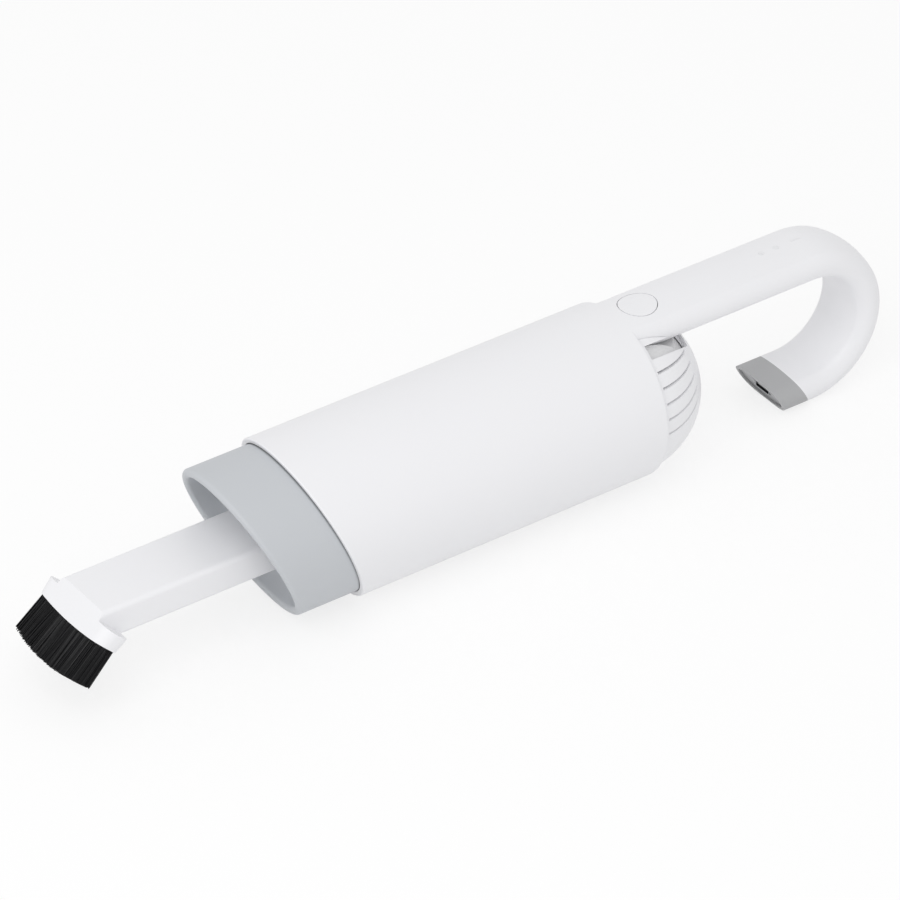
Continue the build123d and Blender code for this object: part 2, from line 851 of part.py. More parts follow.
def tact_switch():
    top = small_board_top + switch_height
    half = switch_side / 2
    switch = slab(button_place - half, button_place + half, switch_side, small_board_top, top)
    return switch + Pos(button_place, 0, top + plunger_height / 2) * Cylinder(plunger_radius, plunger_height)


def indicator_board():
    return small_board(light_board_front, handle_run)


def slit(grow, top):
    """The narrow light behind the two round ones."""
    half = slit_length / 2 + grow
    return slab(slit_place - half, slit_place + half, slit_width + 2 * grow, small_board_top, top)


def indicator_lenses():
    height = body_radius - small_board_top
    crown = rod(light_board_front, handle_run + slit_length, body_radius)
    lenses = []
    for place in light_places:
        lens = Pos(place, 0, small_board_top + height / 2) * Cylinder(light_radius, height)
        lenses.append(lens & crown)
    bend_fit = (slit_place + slit_length / 2 - handle_run) ** 2 / (2 * body_radius)
    board_end = slab(light_board_front, handle_run, handle_width, 0, body_radius)
    past_board = slab(handle_run, handle_run + slit_length, handle_width, 0, spine_top)
    roof_part = slit(0, body_radius - bend_fit) - past_board
    lenses.append(roof_part & (crown + board_end))
    return Compound(lenses)


# Tip with the charging socket

def tip_cap():
    section = Pos(0, -hook_radius) * handle_section()
    cap = bar(tip_end_place - handle_thickness, handle_run, section)
    cap &= ahead_of(tip_seam_place, tip_tilt, -hook_radius)
    spigot_inset = handle_wall + seat_gap
    spigot_section = Pos(0, -hook_radius) * handle_section(spigot_inset)
    cap += bar(tip_seam_place - handle_wall, tip_seam_place + tip_spigot, spigot_section)
    cap -= ahead_of(tip_end_place, tip_tilt, -hook_radius)
    recess = bar(tip_end_place - handle_thickness, handle_run, Pos(0, -hook_radius) * handle_section(tip_rim))
    cap -= recess & ahead_of(tip_end_place + tip_recess, tip_tilt, -hook_radius)
    hole = Pos(0, -hook_radius) * Rectangle(socket_width + 2 * socket_fit, socket_height + 2 * socket_fit)
    cap -= bar(tip_end_place - handle_thickness, handle_run, hole)
    bay = Pos(0, -hook_radius) * Rectangle(charge_board_width + 2 * seat_gap, socket_height + 2 * socket_fit)
    return cap - bar(socket_back(), handle_run, bay) - under_belly()


def socket_back():
    return tip_end_place + tip_recess + socket_length


def charge_socket():
    front = tip_end_place + tip_recess
    middle = Pos(0, -hook_radius)
    outline = RectangleRounded(socket_width, socket_height, socket_corner)
    body = bar(front, socket_back(), middle * outline)
    mouth_width = socket_width - 2 * socket_wall
    mouth_height = socket_height - 2 * socket_wall
    mouth = RectangleRounded(mouth_width, mouth_height, socket_corner - socket_wall)
    body -= bar(front - overrun, socket_back() - socket_wall * 2, middle * mouth)
    tongue = Rectangle(socket_width - 4 * socket_wall, socket_tongue)
    return body + bar(front + socket_wall, socket_back() - socket_wall, middle * tongue)


def charge_board():
    half = small_board_thickness / 2
    back = tip_seam_place + tip_spigot
    return slab(socket_back(), back, charge_board_width, -hook_radius - half, -hook_radius + half)


def charge_leads():
    """Two wires from the charging board, round the bend, to the light board."""
    bend_centre = Axis((handle_run, 0, 0), (0, 1, 0))
    board_middle = spine_top + small_board_thickness / 2
    leads = []
    for side in (-1, 1):
        dot = Pos(side * lead_spread, board_middle) * Circle(lead_radius)
        low_dot = Pos(side * lead_spread, -board_middle) * Circle(lead_radius)
        lead = revolve(Plane.YZ.offset(handle_run) * dot, axis=bend_centre, revolution_arc=180)
        leads.append(lead + bar(tip_seam_place + tip_spigot, handle_run, low_dot))
    return Compound(leads)


pieces = {
    "main_shell": main_shell(),
    "nose_ring": nose_ring(),
    "inlet_duct": inlet_duct(),
    "inlet_flap": inlet_flap(),
    "flap_pin": flap_pin(),
    "dust_cup": dust_cup(),
    "cup_seal": cup_seal(),
    "nozzle_tube": nozzle_tube(),
    "brush_collar": brush_collar(),
    "brush_bristles": brush_bristles(),
    "filter_frame": filter_frame(),
    "filter_cap": filter_cap(),
    "filter_media": filter_media(),
    "bulkhead": bulkhead(),
    "fan_housing": fan_housing(),
    "fan_screws": fan_screws(),
    "impeller": impeller(),
    "motor_shaft": motor_shaft(),
    "motor_rotor": motor_rotor(),
    "motor_can": motor_can(),
    "motor_bearings": motor_bearings(),
    "battery_cells": battery_cells(),
    "battery_tabs": battery_tabs(),
    "mid_frame": mid_frame(),
    "rear_frame": rear_frame(),
    "main_board": main_board(),
    "exhaust_grille": exhaust_grille(),
    "exhaust_foam": exhaust_foam(),
    "handle_outer_shell": handle_outer_shell(),
    "handle_inner_shell": handle_inner_shell(),
    "handle_spine": handle_spine(),
    "handle_screws": handle_screws(),
    "power_button": power_button(),
    "button_spring": button_spring(),
    "button_board": button_board(),
    "tact_switch": tact_switch(),
    "indicator_board": indicator_board(),
    "indicator_lenses": indicator_lenses(),
    "tip_cap": tip_cap(),
    "charge_socket": charge_socket(),
    "charge_board": charge_board(),
    "charge_leads": charge_leads(),
}

os.makedirs("parts", exist_ok=True)
boxes = [piece.bounding_box() for piece in pieces.values()]
front_end = min(box.min.X for box in boxes)
rear_end = max(box.max.X for box in boxes)
ground = min(box.min.Z for box in boxes)
to_origin = Pos(-(front_end + rear_end) / 2, 0, -ground)
print("moved by", -(front_end + rear_end) / 2, -ground)
for name, piece in pieces.items():
    export_step(to_origin * piece, f"parts/{name}.step")
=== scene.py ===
import json
import logging
import math
from dataclasses import dataclass, field
from enum import Enum
from typing import Any

import bpy
from mathutils import Matrix, Vector


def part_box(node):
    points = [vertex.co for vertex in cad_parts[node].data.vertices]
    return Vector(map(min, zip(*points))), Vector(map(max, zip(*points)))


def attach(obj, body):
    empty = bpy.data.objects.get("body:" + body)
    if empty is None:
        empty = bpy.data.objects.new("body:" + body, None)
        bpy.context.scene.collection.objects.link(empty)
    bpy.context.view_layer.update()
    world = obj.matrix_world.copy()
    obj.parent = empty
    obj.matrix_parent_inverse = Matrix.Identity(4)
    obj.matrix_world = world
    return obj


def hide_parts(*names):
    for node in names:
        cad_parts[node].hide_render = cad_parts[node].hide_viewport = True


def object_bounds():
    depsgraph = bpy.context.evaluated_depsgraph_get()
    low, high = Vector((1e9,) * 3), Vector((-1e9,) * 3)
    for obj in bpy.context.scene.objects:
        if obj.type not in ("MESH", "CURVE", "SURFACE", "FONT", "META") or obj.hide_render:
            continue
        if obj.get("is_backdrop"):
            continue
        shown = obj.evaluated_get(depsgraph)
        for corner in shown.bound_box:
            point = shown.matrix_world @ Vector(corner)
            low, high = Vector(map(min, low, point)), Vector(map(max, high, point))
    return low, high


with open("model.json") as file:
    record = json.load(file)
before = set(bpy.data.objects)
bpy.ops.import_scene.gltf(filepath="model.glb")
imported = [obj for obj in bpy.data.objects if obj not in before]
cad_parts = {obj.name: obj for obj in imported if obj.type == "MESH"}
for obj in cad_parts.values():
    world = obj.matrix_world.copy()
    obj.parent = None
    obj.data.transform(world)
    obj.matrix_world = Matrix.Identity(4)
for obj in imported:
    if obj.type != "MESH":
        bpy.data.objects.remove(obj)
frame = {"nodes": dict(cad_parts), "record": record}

logging.basicConfig(level=logging.INFO, format="%(message)s")
LOG = logging.getLogger("vacuum")

MM = 0.001

Inputs = dict[str | int, Any]
Triple = tuple[float, float, float]
Span = tuple[float, float]


class Body(Enum):
    """The moving bodies of the vacuum that made pieces ride on."""

    HOUSING = "housing"
    NOZZLE = "nozzle"


class Texture(Enum):
    """The kinds of fine surface that the finishes have."""

    MOULDED = "moulded"
    METAL = "metal"
    CLOTH = "cloth"
    STRAND = "strand"


class Draw(Enum):
    """What each strand of the tuft draws by chance, with the number that sets the draw apart."""

    ROOT_ACROSS = 1
    ROOT_UP = 2
    FACE_LEAN = 3
    SIDE_LEAN = 4
    OWN_TURN = 5
    GIRTH_ACROSS = 6
    GIRTH_UP = 7
    LENGTH = 8
    SHINE = 9


@dataclass(frozen=True)
class Finish:
    """One finish of the vacuum: its colours, its gloss and its fine surface.

    The colour runs softly between colour and shade over the piece, and the roughness over its span; on
    bristle strands the shade is the lighter colour of a painted sheen.
    The grain is how fine the surface is, and the depth how strongly it shows.
    Painted shade darkens the colour, by its own share, where the piece meets a neighbour, standing in for the
    shadow in the gap.
    """

    slot: str
    texture: Texture
    colour: Triple
    shade: Triple
    rough: Span
    grain: float
    depth: float
    metallic: float = 0.0
    specular: float = 0.5
    coat: float = 0.0
    sheen: float = 0.0
    crevice_shade: float = 0.0


FINISHES: tuple[Finish, ...] = (
    Finish("white_plastic", Texture.MOULDED, (0.885, 0.885, 0.905), (0.872, 0.872, 0.893),
           rough=(0.36, 0.44), grain=900, depth=0.02),
    # painted shade: the grey nose ring darkens in its crevices and gaps, such as where it meets the shell
    Finish("nose_grey", Texture.MOULDED, (0.565, 0.585, 0.612), (0.550, 0.569, 0.595),
           rough=(0.48, 0.58), grain=1100, depth=0.03, crevice_shade=0.6),
    Finish("tip_grey", Texture.MOULDED, (0.446, 0.449, 0.456), (0.431, 0.434, 0.441),
           rough=(0.46, 0.56), grain=1100, depth=0.03),
    # painted sheen: the lighter shade colour goes on bands of strands as painted highlights
    Finish("brush_black", Texture.STRAND, (0.003, 0.003, 0.004), (0.040, 0.040, 0.041),
           rough=(0.42, 0.62), grain=600, depth=0.02, specular=0.24),
    Finish("cup_plastic", Texture.MOULDED, (0.520, 0.540, 0.570), (0.500, 0.520, 0.550),
           rough=(0.25, 0.32), grain=700, depth=0.01),
    Finish("soft_rubber", Texture.MOULDED, (0.210, 0.220, 0.235), (0.190, 0.200, 0.215),
           rough=(0.62, 0.75), grain=1500, depth=0.05),
    Finish("filter_frame_plastic", Texture.MOULDED, (0.780, 0.780, 0.780), (0.760, 0.760, 0.760),
           rough=(0.40, 0.50), grain=900, depth=0.02),
    Finish("filter_cloth", Texture.CLOTH, (0.800, 0.800, 0.770), (0.720, 0.720, 0.690),
           rough=(0.85, 0.95), grain=2200, depth=0.25, specular=0.3, sheen=0.2),
    Finish("inner_plastic", Texture.MOULDED, (0.280, 0.290, 0.310), (0.260, 0.270, 0.290),
           rough=(0.45, 0.55), grain=900, depth=0.03),
    Finish("steel", Texture.METAL, (0.600, 0.610, 0.630), (0.540, 0.550, 0.570),
           rough=(0.22, 0.34), grain=1500, depth=0.02, metallic=1.0),
    Finish("rotor_iron", Texture.METAL, (0.200, 0.200, 0.210), (0.160, 0.160, 0.170),
           rough=(0.40, 0.55), grain=1200, depth=0.05, metallic=1.0),
    Finish("bearing_bronze", Texture.METAL, (0.520, 0.380, 0.200), (0.460, 0.330, 0.170),
           rough=(0.38, 0.50), grain=1800, depth=0.05, metallic=1.0),
    Finish("cell_case", Texture.MOULDED, (0.080, 0.240, 0.380), (0.070, 0.220, 0.350),
           rough=(0.24, 0.30), grain=400, depth=0.01, coat=0.3),
    Finish("board_green", Texture.MOULDED, (0.020, 0.170, 0.080), (0.015, 0.140, 0.065),
           rough=(0.34, 0.46), grain=700, depth=0.03),
    Finish("exhaust_grey", Texture.CLOTH, (0.790, 0.790, 0.798), (0.730, 0.730, 0.738),
           rough=(0.90, 0.98), grain=1300, depth=0.35, specular=0.2, sheen=0.1),
    Finish("lens_plastic", Texture.MOULDED, (0.840, 0.842, 0.862), (0.825, 0.828, 0.848),
           rough=(0.24, 0.32), grain=500, depth=0.01),
    Finish("socket_metal", Texture.METAL, (0.340, 0.345, 0.355), (0.300, 0.305, 0.315),
           rough=(0.28, 0.40), grain=1600, depth=0.02, metallic=1.0),
    Finish("lead_jacket", Texture.MOULDED, (0.420, 0.035, 0.030), (0.380, 0.030, 0.026),
           rough=(0.40, 0.50), grain=900, depth=0.02),
)


class NodeBuilder:
    """Adds nodes to a node tree and feeds their inputs."""

    def __init__(self, tree: bpy.types.NodeTree) -> None:
        """Work on a tree.

        Args:
            tree: The tree that gets the nodes.
        """
        self.tree = tree

    def feed(self, node: bpy.types.Node, inputs: Inputs) -> None:
        """Link or set some inputs of a node.

        Args:
            node: The node.
            inputs: A socket or a plain value for each input, by its name or its place.
        """
        for socket, value in inputs.items():
            if isinstance(value, bpy.types.NodeSocket):
                self.tree.links.new(value, node.inputs[socket])
            else:
                node.inputs[socket].default_value = value

    def add(self, kind: str, inputs: Inputs | None = None, **settings: Any) -> bpy.types.Node:
        """Add a node.

        Args:
            kind: The node's type.
            inputs: A socket or a plain value for each input, by its name or its place.
            settings: The node's own options.

        Returns:
            The new node.
        """
        node = self.tree.nodes.new(kind)
        for option, value in settings.items():
            setattr(node, option, value)
        self.feed(node, inputs or {})
        return node

    def math(self, operation: str, first: Any, second: Any = 0.0) -> bpy.types.NodeSocket:
        """Add a sum of two values and give its result.

        Args:
            operation: The kind of sum.
            first: The first value or socket.
            second: The second value or socket.

        Returns:
            The socket with the result.
        """
        return self.add("ShaderNodeMath", {0: first, 1: second}, operation=operation).outputs[0]

    def spread(self, share: bpy.types.NodeSocket, low: Any, high: Any) -> bpy.types.NodeSocket:
        """Turn a share from 0 to 1 into a value between two ends.

        Args:
            share: The socket with the share.
            low: The value or socket at 0.
            high: The value or socket at 1.

        Returns:
            The socket with the value.
        """
        node = self.add("ShaderNodeMapRange", {"Value": share, "To Min": low, "To Max": high})
        return node.outputs["Result"]

    def blend(self, share: bpy.types.NodeSocket, first: Any, second: Any) -> bpy.types.NodeSocket:
        """Mix two colours.

        Args:
            share: The socket with the second colour's share.
            first: The first colour or its socket.
            second: The second colour or its socket.

        Returns:
            The socket with the mixed colour.
        """
        mix = self.add("ShaderNodeMix", {"Factor": share, "A": first, "B": second}, data_type="RGBA")
        return mix.outputs["Result"]


@dataclass
class SurfaceGroups:
    """Shader node groups that several finishes share, each built at its first use. Their colour holds painted
    shade in crevices.
    """

    brushed_stretch: Triple = (0.15, 1.0, 1.0)
    fine_detail: float = 3.0
    broad_scale: float = 24.0
    # how far and how closed the painted shade in crevices reaches, read from ambient occlusion
    crevice_shade_reach: float = 1.2 * MM
    crevice_shade_open_share: float = 0.9
    crevice_shade_closed_share: float = 0.5
    # the black that the painted shade of crevices mixes into the colour
    black: tuple[float, ...] = (0.0, 0.0, 0.0, 1.0)
    trees: dict[Texture, bpy.types.ShaderNodeTree] = field(default_factory=dict)

    def get(self, texture: Texture) -> bpy.types.ShaderNodeTree:
        """Give the group of a kind of surface, and build it at its first use.

        Args:
            texture: The kind of surface.

        Returns:
            The node group with its colour, roughness and height outputs.
        """
        if texture not in self.trees:
            self.trees[texture] = self._build(texture)
        return self.trees[texture]

    def _build(self, texture: Texture) -> bpy.types.ShaderNodeTree:
        """Build one group.

        Args:
            texture: The kind of surface.

        Returns:
            The new node group.
        """
        tree = bpy.data.node_groups.new(f"surface_{texture.value}", "ShaderNodeTree")
        for name, kind in (("Colour", "Color"), ("Shade", "Color"), ("Grain", "Float"),
                           ("Rough Low", "Float"), ("Rough High", "Float"), ("Crevice Shade", "Float")):
            tree.interface.new_socket(name, in_out="INPUT", socket_type=f"NodeSocket{kind}")
        for name, kind in (("Colour", "Color"), ("Roughness", "Float"), ("Height", "Float")):
            tree.interface.new_socket(name, in_out="OUTPUT", socket_type=f"NodeSocket{kind}")
        nodes = NodeBuilder(tree)
        given = nodes.add("NodeGroupInput").outputs
        place = nodes.add("ShaderNodeTexCoord").outputs["Object"]
        stretch = nodes.add("ShaderNodeMapping", {"Vector": place})
        if texture is Texture.METAL:
            nodes.feed(stretch, {"Scale": self.brushed_stretch})
        grain = nodes.add("ShaderNodeTexNoise", {
            "Vector": stretch.outputs["Vector"], "Scale": given["Grain"], "Detail": self.fine_detail})
        fine = grain.outputs["Fac"]
        # on strands this mixes in the painted sheen; on other pieces it is the finish's own tone
        tone_and_painted_sheen = nodes.blend(self._mask(nodes, texture, place, fine), given["Colour"], given["Shade"])
        # painted shade: the colour darkens towards black in crevices, where a shadow would fall
        colour = nodes.blend(self._painted_crevice_shade(nodes, given["Crevice Shade"]), tone_and_painted_sheen, self.black)
        rough = nodes.spread(fine, given["Rough Low"], given["Rough High"])
        nodes.add("NodeGroupOutput", {"Colour": colour, "Roughness": rough, "Height": fine})
        return tree

    def _mask(self, nodes: NodeBuilder, texture: Texture, place: bpy.types.NodeSocket,
              fine: bpy.types.NodeSocket) -> bpy.types.NodeSocket:
        """Tell where the shade takes the colour's place.

        Args:
            nodes: The group under construction.
            texture: The kind of surface.
            place: The socket with the place on the piece.
            fine: The socket with the fine grain.

        Returns:
            The socket with the shade's share.
        """
        if texture is Texture.STRAND:
            # on strands the shade's share is the painted sheen stored with each strand
            return nodes.add("ShaderNodeAttribute", attribute_name="strand_painted_sheen").outputs["Fac"]
        if texture is Texture.CLOTH:
            return fine
        return nodes.add("ShaderNodeTexNoise", {"Vector": place, "Scale": self.broad_scale}).outputs["Fac"]

    def _painted_crevice_shade(self, nodes: NodeBuilder, most: bpy.types.NodeSocket) -> bpy.types.NodeSocket:
        """Tell how dark the painted shade in the crevices is.

        Args:
            nodes: The group under construction.
            most: The socket with the darkness of the painted shade in a closed gap.

        Returns:
            The socket with the share of black that paints the shade.
        """
        around = nodes.add("ShaderNodeAmbientOcclusion", {"Distance": self.crevice_shade_reach})
        closed = nodes.add("ShaderNodeMapRange", {
            "Value": around.outputs["AO"], "From Min": self.crevice_shade_open_share,
            "From Max": self.crevice_shade_closed_share, "To Max": most})
        return closed.outputs["Result"]


@dataclass
class Paintbox:
    """Makes the materials of the finishes and keeps them by slot."""

    finishes: tuple[Finish, ...]
    bump_height: float = 0.1 * MM
    groups: SurfaceGroups = field(default_factory=SurfaceGroups)
    materials: dict[str, bpy.types.Material] = field(default_factory=dict)

    def __post_init__(self) -> None:
        """Make every material."""
        for finish in self.finishes:
            self.materials[finish.slot] = self._make(finish)

    def _make(self, finish: Finish) -> bpy.types.Material:
        """Make one material.

        Args:
            finish: What the material looks like.

        Returns:
            The material, with its shader and its shared surface group.
        """
        material = bpy.data.materials.new(finish.slot)
        material.use_nodes = True
        nodes = NodeBuilder(material.node_tree)
        rough_low, rough_high = finish.rough
        surface = nodes.add("ShaderNodeGroup", {
            "Colour": (*finish.colour, 1.0), "Shade": (*finish.shade, 1.0), "Grain": finish.grain,
            "Rough Low": rough_low, "Rough High": rough_high, "Crevice Shade": finish.crevice_shade,
        }, node_tree=self.groups.get(finish.texture))
        bump = nodes.add("ShaderNodeBump", {
            "Strength": finish.depth, "Distance": self.bump_height, "Height": surface.outputs["Height"]})
        nodes.feed(material.node_tree.nodes["Principled BSDF"], {
            "Base Color": surface.outputs["Colour"], "Roughness": surface.outputs["Roughness"],
            "Normal": bump.outputs["Normal"], "Metallic": finish.metallic,
            "Specular IOR Level": finish.specular, "Coat Weight": finish.coat, "Sheen Weight": finish.sheen,
        })
        return material

    def dress(self, obj: bpy.types.Object, slot: str) -> None:
        """Give a piece its only material.

        Args:
            obj: The piece.
            slot: The slot of its finish.
        """
        obj.data.materials.clear()
        obj.data.materials.append(self.materials[slot])


class ShapeTree(NodeBuilder):
    """A Geometry Nodes tree under construction, with named inputs."""

    def __init__(self, name: str, inputs: dict[str, tuple[str, Any]]) -> None:
        """Start a tree.

        Args:
            name: The tree's name.
            inputs: The kind and value of each named input.
        """
        super().__init__(bpy.data.node_groups.new(name, "GeometryNodeTree"))
        self.values = {label: value for label, (_, value) in inputs.items()}
        for label, (kind, _) in inputs.items():
            self.tree.interface.new_socket(label, in_out="INPUT", socket_type=f"NodeSocket{kind}")
        self.tree.interface.new_socket("Geometry", in_out="OUTPUT", socket_type="NodeSocketGeometry")
        self.given = self.add("NodeGroupInput").outputs

    def vector(self, x: Any = 0.0, y: Any = 0.0, z: Any = 0.0) -> bpy.types.NodeSocket:
        """Put three values or sockets together and give the socket with the vector."""
        return self.add("ShaderNodeCombineXYZ", {"X": x, "Y": y, "Z": z}).outputs[0]

    def rotation(self, angles: bpy.types.NodeSocket) -> bpy.types.NodeSocket:
        """Give the socket with the rotation about X, then Y, then Z by the angles."""
        return self.add("FunctionNodeEulerToRotation", {0: angles}).outputs[0]

    def moved(self, geometry: bpy.types.NodeSocket, by: bpy.types.NodeSocket) -> bpy.types.NodeSocket:
        """Move a shape and give the socket with it."""
        return self.add("GeometryNodeTransform", {"Geometry": geometry, "Translation": by}).outputs[0]

    def random(self, span: Span, draw: Draw) -> bpy.types.NodeSocket:
        """Add a random value for each strand, from the tree's seed.

        Args:
            span: The least and the greatest value.
            draw: What the value is for.

        Returns:
            The socket with the value.
        """
        low, high = span
        seed = self.math("ADD", self.given["Seed"], float(draw.value))
        node = self.add("FunctionNodeRandomValue", {2: low, 3: high, "Seed": seed}, data_type="FLOAT")
        return node.outputs[1]

    def close(self, geometry: bpy.types.NodeSocket, material: bpy.types.Material) -> None:
        """End the tree in plain geometry with its material.

        Args:
            geometry: What the tree has made.
            material: Its material.
        """
        plain = self.add("GeometryNodeRealizeInstances", {"Geometry": geometry})
        painted = self.add("GeometryNodeSetMaterial", {"Geometry": plain.outputs[0], "Material": material})
        self.add("NodeGroupOutput", {"Geometry": painted.outputs[0]})

    def piece(self, name: str, place: Matrix) -> bpy.types.Object:
        """Run the tree once and keep its result as a plain mesh.

        Args:
            name: The piece's name.
            place: Where the made shape goes in the shared frame.

        Returns:
            The piece, with its place in its mesh.
        """
        holder = bpy.data.objects.new(name, bpy.data.meshes.new(f"{name}_empty"))
        bpy.context.scene.collection.objects.link(holder)
        modifier = holder.modifiers.new("shape", "NODES")
        modifier.node_group = self.tree
        for item in self.tree.interface.items_tree:
            if item.in_out == "INPUT":
                modifier[item.identifier] = self.values[item.name]
        graph = bpy.context.evaluated_depsgraph_get()
        mesh = bpy.data.meshes.new_from_object(holder.evaluated_get(graph))
        holder.modifiers.remove(modifier)
        mesh.name = name
        mesh.transform(place)
        holder.data = mesh
        return holder


@dataclass
class BrushTuft:
    """The bowed tuft of black bristles at the nozzle's end, in metres, and in degrees for the dip.

    The rim is the middle of the shell's rear rim, and reach and drop lead from it to the bristles' roots.
    Splays, leans and a strand's own turn are in radians.
    """

    rim: Vector
    reach: float = 238.9 * MM
    drop: float = 5.6 * MM
    dip: float = 44.0
    width: float = 41.1 * MM
    thickness: float = 8.8 * MM
    corner: float = 3.2 * MM
    length: float = 16.0 * MM
    bow: float = 1.3 * MM
    middle_share: float = 0.085
    side_splay: float = 0.060
    far_lean: float = 0.03
    face_splay: float = 0.04
    strand_radius: float = 0.19 * MM
    strand_sides: int = 5
    strand_segments: int = 3
    tip_share: float = 0.82
    columns: int = 100
    rows: int = 22
    root_depth: float = 1.0 * MM
    root_scatter: Span = (-0.16 * MM, 0.16 * MM)
    own_lean: Span = (-0.02, 0.02)
    own_turn: Span = (0.0, 6.28)
    girth_shares: Span = (0.85, 1.1)
    length_shares: Span = (0.972, 1.0)
    clump_scale: float = 330.0
    clump_detail: float = 1.0
    clump_middle: float = 0.5
    clump_face_lean: float = 0.20
    clump_side_lean: float = 0.24
    # bands of strands that get a painted sheen, lighter colour standing in for highlights
    band_scale: float = 520.0
    band_detail: float = 2.0
    band_floor: float = 0.47
    band_gain: float = 4.5
    shine_shares: Span = (0.3, 1.2)
    seed: int = 11

    def place(self) -> Matrix:
        """Work out where the brush is.

        Returns:
            The brush's frame: its origin at the roots, X across, Z the way that the bristles point.
        """
        dip = math.radians(self.dip)
        forward = Vector((-math.cos(dip), 0.0, -math.sin(dip)))
        across = Vector((0.0, 1.0, 0.0))
        up = forward.cross(across)
        turn = Matrix((across, up, forward)).transposed().to_4x4()
        return Matrix.Translation(self.rim - Vector((self.reach, 0.0, self.drop))) @ turn

    def build(self, paint: Paintbox) -> bpy.types.Object:
        """Make the tuft strand by strand.

        Args:
            paint: The materials.

        Returns:
            The tuft as one plain mesh.
        """
        tree = ShapeTree("bristle_tuft", {
            "Width": ("Float", self.width), "Thickness": ("Float", self.thickness),
            "Length": ("Float", self.length), "Bow": ("Float", self.bow),
            "Radius": ("Float", self.strand_radius), "Columns": ("Int", self.columns),
            "Rows": ("Int", self.rows), "Root Depth": ("Float", self.root_depth),
            "Corner": ("Float", self.corner), "Side Splay": ("Float", self.side_splay),
            "Far Lean": ("Float", self.far_lean), "Face Splay": ("Float", self.face_splay),
            "Middle Share": ("Float", self.middle_share), "Seed": ("Int", self.seed),
        })
        position = tree.add("GeometryNodeInputPosition").outputs[0]
        spot = tree.add("ShaderNodeSeparateXYZ", {0: position}).outputs
        side_share = tree.math("DIVIDE", tree.math("MULTIPLY", spot["X"], 2.0), tree.given["Width"])
        face_share = tree.math("DIVIDE", tree.math("MULTIPLY", spot["Y"], 2.0), tree.given["Thickness"])
        rise = tree.math("SUBTRACT", 1.0, tree.math("MULTIPLY", side_share, side_share))
        tuft = tree.add("GeometryNodeInstanceOnPoints", {
            "Points": self._roots(tree, spot, rise), "Instance": self._strand(tree),
            "Rotation": self._turn(tree, side_share, face_share, rise), "Scale": self._size(tree, rise),
        })
        # painted sheen: each strand keeps its share of the lighter colour for the bristle material
        with_painted_sheen = tree.add("GeometryNodeStoreNamedAttribute", {
            "Geometry": tuft.outputs[0], "Name": "strand_painted_sheen", "Value": self._painted_sheen(tree),
        }, data_type="FLOAT", domain="INSTANCE")
        tree.close(with_painted_sheen.outputs[0], paint.materials["brush_black"])
        piece = tree.piece("bristle_tuft", self.place())
        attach(piece, Body.NOZZLE.value)
        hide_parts("brush_bristles")
        return piece

    def _roots(self, tree: ShapeTree, spot: Any, rise: bpy.types.NodeSocket) -> bpy.types.NodeSocket:
        """Set the roots in a rounded, bowed field.

        Args:
            tree: The tuft's tree.
            spot: The sockets with a root's place.
            rise: The socket that falls from 1 in the tuft's middle to 0 at its sides.

        Returns:
            The socket with the roots as points.
        """
        given = tree.given
        grid = tree.add("GeometryNodeMeshGrid", {
            "Size X": given["Width"], "Size Y": given["Thickness"],
            "Vertices X": given["Columns"], "Vertices Y": given["Rows"],
        })
        past = []
        for axis, size in (("X", "Width"), ("Y", "Thickness")):
            inner = tree.math("SUBTRACT", tree.math("MULTIPLY", given[size], 0.5), given["Corner"])
            beyond = tree.math("SUBTRACT", tree.math("ABSOLUTE", spot[axis]), inner)
            past.append(tree.math("POWER", tree.math("MAXIMUM", beyond, 0.0), 2.0))
        outside = tree.math("GREATER_THAN", tree.math("SQRT", tree.math("ADD", *past)), given["Corner"])
        rounded = tree.add("GeometryNodeDeleteGeometry", {"Geometry": grid.outputs[0], "Selection": outside})
        bowed = tree.math("SUBTRACT", tree.math("MULTIPLY", rise, given["Bow"]), given["Root Depth"])
        shift = tree.vector(tree.random(self.root_scatter, Draw.ROOT_ACROSS),
                            tree.random(self.root_scatter, Draw.ROOT_UP), bowed)
        field_set = tree.add("GeometryNodeSetPosition", {"Geometry": rounded.outputs[0], "Offset": shift})
        return tree.add("GeometryNodeMeshToPoints", {"Mesh": field_set.outputs[0]}).outputs[0]

    def _strand(self, tree: ShapeTree) -> bpy.types.NodeSocket:
        """Make one straight strand, a little thinner at its tip.

        Args:
            tree: The tuft's tree.

        Returns:
            The socket with the strand.
        """
        given = tree.given
        strand = tree.add("GeometryNodeMeshCone", {
            "Vertices": self.strand_sides, "Side Segments": self.strand_segments,
            "Radius Top": tree.math("MULTIPLY", given["Radius"], self.tip_share),
            "Radius Bottom": given["Radius"],
            "Depth": tree.math("ADD", given["Length"], given["Root Depth"]),
        })
        return strand.outputs[0]

